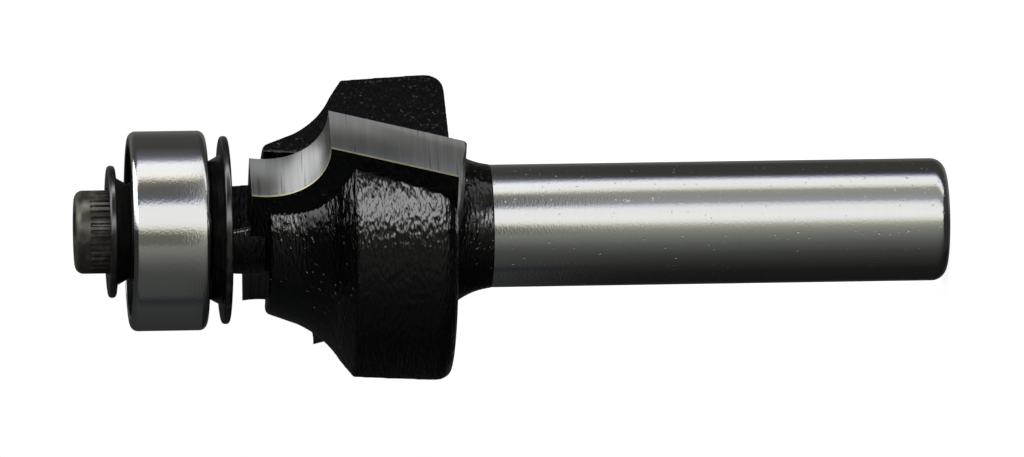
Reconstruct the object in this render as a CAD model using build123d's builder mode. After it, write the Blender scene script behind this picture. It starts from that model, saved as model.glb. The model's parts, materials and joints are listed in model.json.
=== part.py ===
"""Corner-rounding router bit with a ball-bearing guide, 8 mm shank.

The tool axis is +Z. The origin is the centre of the shank's end face, and the
guide bearing is at the top. Looking down on the bearing the tool cuts
counterclockwise. All sizes are in millimetres.
"""

import os
from math import cos, radians, sin, sqrt, tan

from build123d import *

# ---------------------------------------------------------------- driving sizes
# Heights are measured from the end of the shank.
shank_d = 8.0
shank_end_chamfer = 0.55
neck_start = 29.9
neck_middle = (4.33, 31.1)
neck_top_r = 5.3

# The body is one turned blank. Its two wings are what the slots and gullets leave.
lobe_r = 10.45
lobe_chamfer = 0.7
lobe_bottom = 32.6
lobe_top = 39.2
cove_top = (8.95, 40.05)
cove_middle = (7.3, 41.1)
cove_foot = (6.2, 42.6)
hub_end = 44.6
hub_end_r = 5.45
hub_edge_chamfer = 0.3
arbor_d = 5.94
arbor_end = 46.95

# Two brazed tips, each in a plane sheared from the axis.
wing_count = 2
first_wing_angle = -41.0
shear_angle = 15.0
rake_offset = 0.4
tip_front = 45.8
tip_back = 32.05
tip_thickness = 2.4
braze_thickness = 0.1
side_relief = 22.0
front_relief = 17.0
cutting_d = 23.4
cut_arc_r = 5.2
cut_arc_foot = 40.9
cut_arc_middle = 42.4
back_taper = 1.0
tip_corner_r = 0.3

# A slot takes the tip and clears chips from its face; a wider gullet opens above it.
slot_clearance = 3.5
slot_floor_start = 1.95
slot_floor_rise = 9.7
gullet_floor_start = 4.2
gullet_floor_rise = 7.9
gullet_width = 14.0
cut_run_in = 3.0
cut_run_out = 0.9
cut_reach = 16.0

# Guide bearing, 4 x 13 x 5.
bearing_bore = 4.0
bearing_d = 13.0
bearing_width = 5.0
bearing_bottom = 48.42
ring_chamfer = 0.3
bore_chamfer = 0.15
inner_ring_d = 6.4
outer_ring_bore = 10.3
shield_seat_d = 11.2
shield_seat_depth = 0.7
ball_count = 7
ball_d = 2.38
ball_sides = 8
ball_pitch_r = 4.25
raceway_clearance = 0.04
cage_inner_r = 3.95
cage_outer_r = 4.55
cage_height = 3.0
pocket_size = 2.44
shield_bore_d = 6.6
shield_thickness = 0.25

# The flanged spacer carries the bearing and keeps chips off it.
spacer_bore_d = 3.2
spacer_flange_d = 12.24
spacer_flange_thickness = 0.5
spacer_boss_d = 9.8
spacer_boss_top_d = 9.0
spacer_boss_height = 0.75
spacer_land_d = 6.0
spacer_end_gap = 0.15

# Cupped washer under the screw head.
washer_foot_d = 6.08
washer_cone_d = 7.08
washer_cone_height = 0.88
washer_rim_d = 8.6
washer_rim_thickness = 0.5
washer_recess_d = 5.8
washer_floor = 0.53

# Socket cap screw, M3 x 12.
screw_d = 3.0
screw_length = 12.0
screw_head_d = 5.42
screw_head_height = 3.0
screw_head_chamfer = 0.4
screw_tip_chamfer = 0.3
hex_across_flats = 2.5
hex_depth = 1.3
tapped_depth = 6.5

# ---------------------------------------------------------------- worked-out sizes
shank_r = shank_d / 2
arbor_r = arbor_d / 2
cutting_r = cutting_d / 2
shear = radians(shear_angle)
tip_length = (tip_front - tip_back) / cos(shear)
wing_angles = [first_wing_angle + 360 / wing_count * index for index in range(wing_count)]
bearing_top = bearing_bottom + bearing_width
bearing_middle = bearing_bottom + bearing_width / 2
screw_seat = bearing_top + washer_floor
screw_top = screw_seat + screw_head_height

os.makedirs("parts", exist_ok=True)


def save(piece: Part, label: str) -> None:
    """Label one finished piece and write its STEP file."""
    piece.label = label
    export_step(piece, f"parts/{label}.step")


def rake_plane(angle: float) -> Plane:
    """Plane of one cutting face: x runs outward and y from the tip's front to the shank."""
    outward = Vector(1, 0, 0).rotate(Axis.Z, angle)
    trailing = Vector(0, -1, 0).rotate(Axis.Z, angle)
    facing = trailing * -cos(shear) - Vector(0, 0, 1) * sin(shear)
    return Plane(trailing * rake_offset + Vector(0, 0, tip_front), outward, facing)


def rake_point(radius: float, height: float) -> tuple[float, float]:
    """Point of the rake plane that lies at a radius and a height of the tool."""
    along = (tip_front - height) / cos(shear)
    behind_axis = rake_offset + along * sin(shear)
    return sqrt(radius**2 - behind_axis**2), along


def cut_radius(height: float) -> float:
    """Radius that the rounding arc cuts at a height."""
    return cutting_r - sqrt(cut_arc_r**2 - (cut_arc_foot + cut_arc_r - height) ** 2)


def floor_outline(start: float, rise: float) -> list[tuple[float, float]]:
    """Outline in the rake plane of a cut whose floor climbs towards the shank."""
    front = -cut_run_in
    back = tip_length + cut_run_out
    slope = tan(radians(rise))
    return [(start + slope * front, front), (cut_reach, front), (cut_reach, back), (start + slope * back, back)]


def ball_section(diameter: float, mode: Mode = Mode.ADD) -> RegularPolygon:
    """Flat-sided section of a ball, or of the raceway that it runs in."""
    return RegularPolygon(diameter / 2, ball_sides, False, 180 / ball_sides, mode=mode)


# ---------------------------------------------------------------- turned blank
with BuildPart() as turned_blank:
    with BuildSketch(Plane.XZ) as blank_section:
        with BuildLine():
            Polyline((neck_top_r, lobe_bottom), (lobe_r, lobe_bottom), (lobe_r, lobe_top), cove_top)
            ThreePointArc(cove_top, cove_middle, cove_foot)
            Polyline(cove_foot, (hub_end_r, hub_end), (arbor_r, hub_end), (arbor_r, arbor_end), (0, arbor_end))
            Polyline((0, arbor_end), (0, 0), (shank_r, 0), (shank_r, neck_start))
            ThreePointArc((shank_r, neck_start), neck_middle, (neck_top_r, lobe_bottom))
        make_face()
        chamfer(blank_section.vertices().sort_by_distance((lobe_r, lobe_bottom))[0], lobe_chamfer)
        chamfer(blank_section.vertices().sort_by_distance((hub_end_r, hub_end))[0], hub_edge_chamfer)
        chamfer(blank_section.vertices().sort_by_distance((shank_r, 0))[0], shank_end_chamfer)
    revolve(axis=Axis.Z)

# ---------------------------------------------------------------- body with its wings
with BuildPart() as cutter_body:
    add(turned_blank.part)
    for angle in wing_angles:
        with BuildSketch(rake_plane(angle)) as slot_outline:
            Polygon(*floor_outline(slot_floor_start, slot_floor_rise), align=None)
        extrude(slot_outline.sketch, amount=-(tip_thickness + braze_thickness), mode=Mode.SUBTRACT)
        extrude(slot_outline.sketch, amount=slot_clearance, mode=Mode.SUBTRACT)
        with BuildSketch(rake_plane(angle)) as gullet_outline:
            Polygon(*floor_outline(gullet_floor_start, gullet_floor_rise), align=None)
        extrude(gullet_outline.sketch, amount=gullet_width, mode=Mode.SUBTRACT)
    with Locations(Plane.XY.offset(arbor_end)):
        Hole(screw_d / 2, depth=tapped_depth)
save(cutter_body.part, "cutter_body")

# ---------------------------------------------------------------- carbide tips and their braze
for number, angle in enumerate(wing_angles, start=1):
    cutting_face = rake_plane(angle)
    arc_start = rake_point(cut_radius(tip_front), tip_front)
    arc_middle = rake_point(cut_radius(cut_arc_middle), cut_arc_middle)
    arc_end = rake_point(cutting_r, cut_arc_foot)
    heel = rake_point(cutting_r - tan(radians(back_taper)) * (cut_arc_foot - tip_back), tip_back)
    seat_start, _, _, seat_end = floor_outline(slot_floor_start, slot_floor_rise)
    front_ground = cutting_face.y_dir * tan(radians(front_relief))
    side_ground = cutting_face.x_dir * tan(radians(side_relief))
    grinding = front_ground - side_ground - cutting_face.z_dir

    with BuildPart() as carbide_tip:
        with BuildSketch(cutting_face):
            Polygon(seat_start, (cut_reach, -cut_run_in), (cut_reach, tip_length), seat_end, align=None)
            with Locations((0, -cut_run_in)):
                Rectangle(2 * cut_reach, cut_run_in, align=(Align.CENTER, Align.MIN), mode=Mode.SUBTRACT)
            with Locations((0, tip_length)):
                Rectangle(2 * cut_reach, cut_run_in, align=(Align.CENTER, Align.MIN), mode=Mode.SUBTRACT)
        extrude(amount=-tip_thickness)
        with BuildSketch(cutting_face) as ground_outline:
            with BuildLine():
                ThreePointArc(arc_start, arc_middle, arc_end)
                Polyline(arc_end, heel, (-cut_reach, tip_length), (-cut_reach, 0), arc_start)
            make_face()
            fillet(ground_outline.vertices().sort_by_distance(heel)[0], tip_corner_r)
        extrude(amount=tip_thickness * grinding.length, dir=grinding, mode=Mode.INTERSECT)
    save(carbide_tip.part, f"carbide_tip_{number}")

    with BuildPart() as braze_layer:
        with BuildSketch(cutting_face.offset(-tip_thickness)):
            Polygon(seat_start, (cut_reach, -cut_run_in), (cut_reach, tip_length), seat_end, align=None)
            with Locations((0, tip_length)):
                Rectangle(2 * cut_reach, cut_run_in, align=(Align.CENTER, Align.MIN), mode=Mode.SUBTRACT)
        extrude(amount=-braze_thickness)
        ground_depth = (tip_thickness + braze_thickness) * grinding.length
        extrude(ground_outline.sketch, amount=ground_depth, dir=grinding, mode=Mode.INTERSECT)
    save(braze_layer.part, f"braze_layer_{number}")

# ---------------------------------------------------------------- flanged spacer under the bearing
spacer_flange_top = arbor_end + spacer_flange_thickness
with BuildPart() as bearing_spacer:
    with BuildSketch(Plane.XZ) as spacer_section:
        with BuildLine():
            Polyline(
                (spacer_bore_d / 2, arbor_end),
                (spacer_flange_d / 2, arbor_end),
                (spacer_flange_d / 2, spacer_flange_top),
                (spacer_boss_d / 2, spacer_flange_top),
                (spacer_boss_top_d / 2, spacer_flange_top + spacer_boss_height),
                (spacer_land_d / 2, spacer_flange_top + spacer_boss_height),
                (spacer_land_d / 2, bearing_bottom),
                (bearing_bore / 2, bearing_bottom),
                (bearing_bore / 2, bearing_top - spacer_end_gap),
                (spacer_bore_d / 2, bearing_top - spacer_end_gap),
                close=True,
            )
        make_face()
    revolve(axis=Axis.Z)
save(bearing_spacer.part, "bearing_spacer")

# ---------------------------------------------------------------- bearing rings
with BuildPart() as bearing_inner_ring:
    with BuildSketch(Plane.XZ) as inner_section:
        with Locations((bearing_bore / 2, bearing_bottom)):
            Rectangle((inner_ring_d - bearing_bore) / 2, bearing_width, align=Align.MIN)
        chamfer(inner_section.vertices().group_by(Axis.X)[0], bore_chamfer)
        with Locations((ball_pitch_r, bearing_middle)):
            ball_section(ball_d + 2 * raceway_clearance, mode=Mode.SUBTRACT)
    revolve(axis=Axis.Z)
save(bearing_inner_ring.part, "bearing_inner_ring")

with BuildPart() as bearing_outer_ring:
    with BuildSketch(Plane.XZ) as outer_section:
        with Locations((outer_ring_bore / 2, bearing_bottom)):
            Rectangle((bearing_d - outer_ring_bore) / 2, bearing_width, align=Align.MIN)
        chamfer(outer_section.vertices().group_by(Axis.X)[-1], ring_chamfer)
        with Locations((ball_pitch_r, bearing_middle)):
            ball_section(ball_d + 2 * raceway_clearance, mode=Mode.SUBTRACT)
        with Locations((0, bearing_bottom)):
            Rectangle(shield_seat_d / 2, shield_seat_depth, align=Align.MIN, mode=Mode.SUBTRACT)
        with Locations((0, bearing_top)):
            Rectangle(shield_seat_d / 2, shield_seat_depth, align=(Align.MIN, Align.MAX), mode=Mode.SUBTRACT)
    revolve(axis=Axis.Z)
save(bearing_outer_ring.part, "bearing_outer_ring")

# ---------------------------------------------------------------- balls and their cage
for index in range(ball_count):
    outward = Vector(1, 0, 0).rotate(Axis.Z, 360 / ball_count * index)
    sideways = outward.cross(Vector(0, 0, 1))
    ball_center = outward * ball_pitch_r + Vector(0, 0, bearing_middle)
    with BuildPart() as ball:
        with BuildSketch(Plane(ball_center, x_dir=outward, z_dir=(0, 0, 1))):
            ball_section(ball_d)
        extrude(amount=ball_d / 2, both=True)
        for facing, across in ((outward, sideways), (sideways, outward)):
            with BuildSketch(Plane(ball_center, x_dir=across, z_dir=facing)):
                ball_section(ball_d)
            extrude(amount=ball_d, both=True, mode=Mode.INTERSECT)
    save(ball.part, f"ball_{index + 1}")

with BuildPart() as ball_cage:
    with BuildSketch(Plane.XY.offset(bearing_middle - cage_height / 2)):
        Circle(cage_outer_r)
        Circle(cage_inner_r, mode=Mode.SUBTRACT)
    extrude(amount=cage_height)
    with Locations((0, 0, bearing_middle)):
        with PolarLocations(ball_pitch_r, ball_count):
            Box(pocket_size, pocket_size, pocket_size, mode=Mode.SUBTRACT)
save(ball_cage.part, "ball_cage")

# ---------------------------------------------------------------- pressed shields
upper_seat = Plane.XY.offset(bearing_top - shield_seat_depth)
lower_seat = Plane.XY.offset(bearing_bottom + shield_seat_depth - shield_thickness)
for number, shield_plane in enumerate((upper_seat, lower_seat), start=1):
    with BuildPart() as bearing_shield:
        with BuildSketch(shield_plane):
            Circle(shield_seat_d / 2)
            Circle(shield_bore_d / 2, mode=Mode.SUBTRACT)
        extrude(amount=shield_thickness)
    save(bearing_shield.part, f"bearing_shield_{number}")

# ---------------------------------------------------------------- cupped washer
with BuildPart() as cup_washer:
    with BuildSketch(Plane.XZ) as washer_section:
        with BuildLine():
            Polyline(
                (spacer_bore_d / 2, bearing_top),
                (washer_foot_d / 2, bearing_top),
                (washer_cone_d / 2, bearing_top + washer_cone_height),
                (washer_rim_d / 2, bearing_top + washer_cone_height),
                (washer_rim_d / 2, bearing_top + washer_cone_height + washer_rim_thickness),
                (washer_recess_d / 2, bearing_top + washer_cone_height + washer_rim_thickness),
                (washer_recess_d / 2, screw_seat),
                (spacer_bore_d / 2, screw_seat),
                close=True,
            )
        make_face()
    revolve(axis=Axis.Z)
save(cup_washer.part, "cup_washer")

# ---------------------------------------------------------------- socket cap screw
with BuildPart() as cap_screw:
    with BuildSketch(Plane.XZ) as screw_section:
        with BuildLine():
            Polyline(
                (0, screw_seat - screw_length),
                (screw_d / 2, screw_seat - screw_length),
                (screw_d / 2, screw_seat),
                (screw_head_d / 2, screw_seat),
                (screw_head_d / 2, screw_top),
                (0, screw_top),
                close=True,
            )
        make_face()
        chamfer(screw_section.vertices().sort_by_distance((screw_head_d / 2, screw_top))[0], screw_head_chamfer)
        tip_corner = screw_section.vertices().sort_by_distance((screw_d / 2, screw_seat - screw_length))[0]
        chamfer(tip_corner, screw_tip_chamfer)
    revolve(axis=Axis.Z)
    with BuildSketch(Plane.XY.offset(screw_top)):
        RegularPolygon(hex_across_flats / 2, 6, major_radius=False)
    extrude(amount=-hex_depth, mode=Mode.SUBTRACT)
save(cap_screw.part, "cap_screw")
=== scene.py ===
"""Blender scene of a corner-rounding router bit with a ball-bearing guide.

The tool stands on its shank with its axis on +Z, and the guide bearing is at the top.
Sizes in the classes are millimetres, and heights are measured from the end of the shank.
"""

import json
import logging
from dataclasses import dataclass
from enum import Enum
from math import acos, atan2, ceil, cos, degrees, pi, radians, sin, sqrt, tan

import bpy
from mathutils import Matrix, Vector

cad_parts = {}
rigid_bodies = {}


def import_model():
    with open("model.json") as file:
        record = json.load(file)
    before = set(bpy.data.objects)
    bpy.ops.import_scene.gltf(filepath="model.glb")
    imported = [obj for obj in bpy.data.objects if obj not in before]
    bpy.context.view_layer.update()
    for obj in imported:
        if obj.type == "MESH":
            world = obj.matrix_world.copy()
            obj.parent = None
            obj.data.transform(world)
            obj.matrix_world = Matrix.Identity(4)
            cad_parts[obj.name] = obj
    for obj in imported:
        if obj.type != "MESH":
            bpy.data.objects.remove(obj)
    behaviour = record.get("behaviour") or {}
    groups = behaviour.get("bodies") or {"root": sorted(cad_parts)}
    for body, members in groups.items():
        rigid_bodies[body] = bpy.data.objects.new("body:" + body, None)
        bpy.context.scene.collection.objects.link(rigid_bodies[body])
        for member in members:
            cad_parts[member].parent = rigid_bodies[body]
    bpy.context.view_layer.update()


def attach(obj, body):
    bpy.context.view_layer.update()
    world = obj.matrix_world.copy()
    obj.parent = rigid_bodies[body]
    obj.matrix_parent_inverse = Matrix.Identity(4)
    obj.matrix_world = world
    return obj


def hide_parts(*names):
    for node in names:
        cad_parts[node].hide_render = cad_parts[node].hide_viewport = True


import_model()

MM = 0.001
MERGE = 0.000001
SHARP = 35.0

log = logging.getLogger("router_bit")


class Body(Enum):
    """The bodies that pieces ride on."""

    CUTTER = "cutter"
    GUIDE_RIM = "guide_rim"
    BALL_CAGE = "ball_cage"


class Slot(Enum):
    """The record's material slots."""

    BODY = "body_steel"
    CARBIDE = "carbide"
    BRAZE = "braze"
    BLACK = "black_steel"
    BEARING = "bearing_steel"
    SHIELD = "shield_steel"
    SCREW = "screw_steel"


# ---------------------------------------------------------------- shader building
class Value:
    """A number that varies over a surface, held as the socket that carries it."""

    def __init__(self, desk: "NodeDesk", socket: bpy.types.NodeSocket) -> None:
        """Keep the desk that adds nodes and the socket that carries the number."""
        self.desk = desk
        self.socket = socket

    def math(self, operation: str, *operands: "Value | float") -> "Value":
        """Add one Math node.

        Args:
            operation: the Math node's operation.
            operands: its inputs in order, sockets or numbers.

        Returns:
            The node's result.
        """
        inputs = dict(enumerate(operands))
        return self.desk.value(self.desk.add("ShaderNodeMath", {"operation": operation}, inputs))

    def __add__(self, other: "Value | float") -> "Value":
        """Sum of the two."""
        return self.math("ADD", self, other)

    def __radd__(self, other: float) -> "Value":
        """Sum of the two."""
        return self.math("ADD", other, self)

    def __sub__(self, other: "Value | float") -> "Value":
        """Difference of the two."""
        return self.math("SUBTRACT", self, other)

    def __rsub__(self, other: float) -> "Value":
        """Difference of the two."""
        return self.math("SUBTRACT", other, self)

    def __mul__(self, other: "Value | float") -> "Value":
        """Product of the two."""
        return self.math("MULTIPLY", self, other)

    def __rmul__(self, other: float) -> "Value":
        """Product of the two."""
        return self.math("MULTIPLY", other, self)

    def __truediv__(self, other: "Value | float") -> "Value":
        """Quotient of the two."""
        return self.math("DIVIDE", self, other)

    def __pow__(self, other: float) -> "Value":
        """Power of the first."""
        return self.math("POWER", self, other)

    def step(self, start: float, end: float) -> "Value":
        """Rise smoothly from 0 at start to 1 at end.

        Args:
            start: the value below which the result is 0.
            end: the value above which the result is 1.

        Returns:
            The smoothed step.
        """
        settings = {"interpolation_type": "SMOOTHSTEP"}
        inputs = {"Value": self, "From Min": start, "From Max": end}
        return self.desk.value(self.desk.add("ShaderNodeMapRange", settings, inputs), "Result")


class NodeDesk:
    """The node tree of one material or world, and the two ways in which nodes are added to it."""

    def __init__(self, tree: bpy.types.NodeTree) -> None:
        """Start with an empty tree."""
        self.tree = tree
        tree.nodes.clear()

    def add(
        self, kind: str, settings: dict | None = None, inputs: dict | None = None
    ) -> bpy.types.Node:
        """Add a node.

        Args:
            kind: the node's type.
            settings: its own properties; "stops" are the places and colours of a ramp.
            inputs: what each socket takes, by name or place: a Value, a socket, or a plain value.

        Returns:
            The node.
        """
        node = self.tree.nodes.new(kind)
        for name, setting in (settings or {}).items():
            if name == "stops":
                self.place_stops(node.color_ramp.elements, setting)
            else:
                setattr(node, name, setting)
        for name, given in (inputs or {}).items():
            source = given.socket if isinstance(given, Value) else given
            if isinstance(source, bpy.types.NodeSocket):
                self.tree.links.new(source, node.inputs[name])
            else:
                node.inputs[name].default_value = source
        return node

    @staticmethod
    def place_stops(elements: bpy.types.ColorRampElements, stops: list[tuple]) -> None:
        """Give a ramp its stops.

        Args:
            elements: the ramp's elements.
            stops: the place and the colour, or the grey, of each stop in order.
        """
        while len(elements) < len(stops):
            elements.new(1.0)
        for element, (place, colour) in zip(elements, stops):
            element.position = place
            element.color = (*(colour if isinstance(colour, tuple) else (colour,) * 3), 1.0)

    def value(self, node: bpy.types.Node, output: str | int = 0) -> Value:
        """Wrap one output of a node as a number."""
        return Value(self, node.outputs[output])

    def place(self) -> bpy.types.NodeSocket:
        """The point on the piece, in metres."""
        return self.add("ShaderNodeTexCoord").outputs["Object"]

    def axes(self) -> tuple[Value, Value, Value]:
        """The three coordinates of the point on the piece."""
        node = self.add("ShaderNodeSeparateXYZ", inputs={"Vector": self.place()})
        return self.value(node, "X"), self.value(node, "Y"), self.value(node, "Z")

    def beyond(self, radius: float, width: float) -> Value:
        """Tell what is far from the tool's axis.

        Args:
            radius: distance from the axis in millimetres up to which the result is 0.
            width: width of the change to 1.

        Returns:
            The number, 0 near the axis and 1 beyond.
        """
        x, y, _ = self.axes()
        return ((x * x + y * y) ** 0.5).step(radius * MM, (radius + width) * MM)

    def noise(
        self, grain: tuple[float, float, float], detail: float = 2.0, roughness: float = 0.5
    ) -> Value:
        """Noise with its own grain size along each axis.

        Args:
            grain: size of a grain along x, y and z in millimetres.
            detail: number of finer layers.
            roughness: strength of the finer layers.

        Returns:
            The noise, about 0 to 1.
        """
        scaling = {0: self.place(), 1: tuple(1.0 / (size * MM) for size in grain)}
        scaled = self.add("ShaderNodeVectorMath", {"operation": "MULTIPLY"}, scaling).outputs[0]
        inputs = {"Vector": scaled, "Scale": 1.0, "Detail": detail, "Roughness": roughness}
        return self.value(self.add("ShaderNodeTexNoise", inputs=inputs), "Fac")

    def blend(self, factor: Value, first: tuple, second: tuple) -> bpy.types.NodeSocket:
        """Mix two colours.

        Args:
            factor: 0 shows the first and 1 the second.
            first: a colour or a colour socket.
            second: a colour or a colour socket.

        Returns:
            The mixed colour.
        """
        first, second = ((*c, 1.0) if isinstance(c, tuple) else c for c in (first, second))
        node = self.add("ShaderNodeMix", {"data_type": "RGBA"}, {0: factor, 6: first, 7: second})
        return node.outputs[2]

    def bump(self, height: Value, distance: float) -> bpy.types.NodeSocket:
        """Turn a height into a normal.

        Args:
            height: the height.
            distance: how far a height of 1 stands proud, in millimetres.

        Returns:
            The normal.
        """
        inputs = {"Height": height, "Distance": distance * MM, "Strength": 1.0}
        return self.add("ShaderNodeBump", inputs=inputs).outputs["Normal"]

    def surface(self, **inputs: object) -> None:
        """Finish the tree with a Principled shader; underscores stand for spaces in its sockets."""
        named = {name.replace("_", " "): given for name, given in inputs.items()}
        shader = self.add("ShaderNodeBsdfPrincipled", inputs=named)
        self.add("ShaderNodeOutputMaterial", inputs={"Surface": shader.outputs[0]})


@dataclass(frozen=True)
class Finish:
    """A surface finish that builds its own material."""

    name: str

    def material(self) -> bpy.types.Material:
        """Build the material once and hand out the same one afterwards.

        Returns:
            The material.
        """
        found = bpy.data.materials.get(self.name)
        if found:
            return found
        made = bpy.data.materials.new(self.name)
        made.use_nodes = True
        self.shade(NodeDesk(made.node_tree))
        return made

    def shade(self, desk: NodeDesk) -> None:
        """Add the nodes of the finish."""
        raise NotImplementedError


@dataclass(frozen=True)
class GroundSteel(Finish):
    """Bright steel, ground round and round; its depths are in millimetres."""

    colour: tuple[float, float, float] = (0.74, 0.74, 0.725)
    roughness: float = 0.11
    mark_width: float = 0.05
    mark_depth: float = 0.0006
    mottle_depth: float = 0.0045
    pit_depth: float = 0.015
    # Inside this radius the steel is rough like unground steel and darkened; the dark colour is
    # painted shade of the bearing's recess.
    dull_and_shaded_within: float = 0.0
    dull_and_shaded_edge: float = 0.03
    dull_and_painted_shade_colour: tuple[float, float, float] = (0.05, 0.05, 0.05)
    dull_roughness: float = 0.5
    mark_length: float = 6.0
    mottle_grain: tuple[float, float, float] = (0.18, 0.18, 0.13)
    pit_grain: tuple[float, float, float] = (0.2, 0.2, 0.2)
    pit_rarity: tuple[float, float] = (0.79, 0.86)

    def shade(self, desk: NodeDesk) -> None:
        """Fine marks round the axis, a slight mottle and a few pits; dull within a radius, and
        darkened there as painted shade.

        Args:
            desk: the desk of the material.
        """
        # ground is 0 within the radius, where the dark colour is painted shade, and 1 beyond.
        ground = desk.beyond(self.dull_and_shaded_within, self.dull_and_shaded_edge)
        marks = desk.noise((self.mark_length, self.mark_length, self.mark_width), detail=3.0)
        mottle = desk.noise(self.mottle_grain, detail=2.0)
        pits = desk.noise(self.pit_grain, detail=0.0).step(*self.pit_rarity)
        height = self.mark_depth * marks + self.mottle_depth * mottle - self.pit_depth * pits
        bright = desk.blend(marks, tuple(0.94 * c for c in self.colour), self.colour)
        ground_roughness = self.roughness + 0.06 * (mottle - 0.5)
        desk.surface(
            Base_Color=desk.blend(ground, self.dull_and_painted_shade_colour, bright),
            Metallic=1.0,
            Roughness=self.dull_roughness + (ground_roughness - self.dull_roughness) * ground,
            Normal=desk.bump(height, 1.0),
        )


@dataclass(frozen=True)
class BlackEnamel(Finish):
    """Thick gloss paint, wrinkled on the widest turned faces and smoother elsewhere."""

    colour: tuple[float, float, float] = (0.0008, 0.0008, 0.0009)
    dust_colour: tuple[float, float, float] = (0.008, 0.008, 0.0085)
    roughness: float = 0.12
    wrinkle_depth: float = 0.1
    swell_depth: float = 0.05
    blister_depth: float = 0.04
    wrinkled_from: float = 10.0
    wrinkled_edge: float = 0.3
    wrinkled_elsewhere: float = 0.7
    index: float = 1.5
    wrinkle_grain: tuple[float, float, float] = (0.55, 0.55, 0.16)
    swell_grain: tuple[float, float, float] = (0.9, 0.9, 0.7)
    patch_grain: tuple[float, float, float] = (2.2, 2.2, 2.2)
    patch_rarity: tuple[float, float] = (0.48, 0.56)
    blister_grain: tuple[float, float, float] = (0.28, 0.28, 0.28)
    blister_rarity: tuple[float, float] = (0.68, 0.8)
    dust_grain: tuple[float, float, float] = (0.1, 0.1, 0.1)
    dust_rarity: tuple[float, float] = (0.66, 0.8)

    def shade(self, desk: NodeDesk) -> None:
        """Wrinkles run round the axis; dust and a few blisters lie in the paint.

        Args:
            desk: the desk of the material.
        """
        wide = desk.beyond(self.wrinkled_from, self.wrinkled_edge)
        wrinkle = desk.noise(self.wrinkle_grain, detail=1.0, roughness=0.35)
        swell = desk.noise(self.swell_grain, detail=1.0)
        patch = desk.noise(self.patch_grain, detail=0.0).step(*self.patch_rarity) * (1.0 - wide)
        blister = desk.noise(self.blister_grain, detail=0.0).step(*self.blister_rarity) * patch
        shown = self.wrinkled_elsewhere + (1.0 - self.wrinkled_elsewhere) * wide
        height = (self.wrinkle_depth * wrinkle) * shown
        height = height + self.swell_depth * swell + self.blister_depth * blister
        dust = desk.noise(self.dust_grain, detail=1.0).step(*self.dust_rarity)
        desk.surface(
            Base_Color=desk.blend(dust, self.colour, self.dust_colour),
            Roughness=self.roughness + 0.1 * dust,
            IOR=self.index,
            Normal=desk.bump(height, 1.0),
        )


@dataclass(frozen=True)
class GroundCarbide(Finish):
    """Tungsten carbide ground across its edge."""

    colour: tuple[float, float, float] = (0.22, 0.224, 0.222)
    roughness: float = 0.31

    def shade(self, desk: NodeDesk) -> None:
        """Grinding lines across the edge: wide streaks, fine ones and a few dark lines.

        Args:
            desk: the desk of the material.
        """
        fine = desk.noise((3.0, 3.0, 0.07), detail=3.0, roughness=0.6)
        wide = desk.noise((8.0, 8.0, 0.35), detail=1.0)
        lines = desk.noise((5.0, 5.0, 0.2), detail=1.0).step(0.6, 0.7)
        streak = 0.5 * fine + 0.5 * wide
        light = tuple(1.1 * c for c in self.colour)
        dark = tuple(0.84 * c for c in self.colour)
        deep = tuple(0.62 * c for c in self.colour)
        desk.surface(
            Base_Color=desk.blend(lines, desk.blend(streak.step(0.3, 0.7), dark, light), deep),
            Metallic=1.0,
            Roughness=self.roughness + 0.1 * (fine - 0.5),
            Normal=desk.bump(fine, 0.003),
        )


@dataclass(frozen=True)
class Braze(Finish):
    """Silver braze that shows as a thin yellow line."""

    colour: tuple[float, float, float] = (0.52, 0.48, 0.32)

    def shade(self, desk: NodeDesk) -> None:
        """A dull yellow metal, uneven along its length.

        Args:
            desk: the desk of the material.
        """
        patch = desk.noise((0.4, 0.4, 0.4))
        desk.surface(
            Base_Color=desk.blend(patch, tuple(0.55 * c for c in self.colour), self.colour),
            Metallic=1.0,
            Roughness=0.42 + 0.15 * (patch - 0.5),
            Normal=desk.bump(patch, 0.01),
        )


@dataclass(frozen=True)
class BlackOxide(Finish):
    """Steel blackened in a salt bath."""

    colour: tuple[float, float, float] = (0.01, 0.01, 0.01)
    worn: tuple[float, float, float] = (0.035, 0.034, 0.032)
    roughness: float = 0.22
    index: float = 1.8

    def shade(self, desk: NodeDesk) -> None:
        """Patches of thinner black over turning marks.

        Args:
            desk: the desk of the material.
        """
        patch = desk.noise((0.8, 0.8, 0.5), detail=3.0)
        marks = desk.noise((4.0, 4.0, 0.06), detail=2.0)
        desk.surface(
            Base_Color=desk.blend(patch.step(0.4, 0.75), self.colour, self.worn),
            Metallic=0.4,
            IOR=self.index,
            Roughness=self.roughness + 0.2 * (patch - 0.5),
            Normal=desk.bump(0.5 * patch + 0.5 * marks, 0.003),
        )


SHANK_STEEL = GroundSteel("ground_shank_steel")
# Inside 5.62 mm the ring steel is rough and painted dark as shade: the recess walls of the outer
# ring and all of the inner ring.
RING_STEEL = GroundSteel(
    "ground_ring_steel", roughness=0.09, mottle_depth=0.0065, pit_depth=0.0, dull_and_shaded_within=5.62
)
BALL_STEEL = GroundSteel(
    "lapped_ball_steel", roughness=0.08, mark_depth=0.0001, mottle_depth=0.0005, pit_depth=0.0
)
PRESSED_STEEL = GroundSteel("pressed_steel", (0.06, 0.058, 0.055), roughness=0.45, pit_depth=0.0)
ENAMEL = BlackEnamel("black_enamel")
CARBIDE = GroundCarbide("ground_carbide")
BRAZE = Braze("silver_braze")
BLACK_STEEL = BlackOxide("blackened_steel")
SCREW_STEEL = BlackOxide(
    "blackened_screw", (0.03, 0.028, 0.022), (0.09, 0.08, 0.062), roughness=0.34, index=1.5
)


# ---------------------------------------------------------------- sections and outlines
@dataclass(frozen=True)
class Corner:
    """One corner of a turned section: its distance from the axis, its height and its rounding."""

    radius: float
    height: float
    rounding: float = 0.0

    def point(self) -> Vector:
        """The corner in the XZ plane."""
        return Vector((self.radius, 0.0, self.height))


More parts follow.
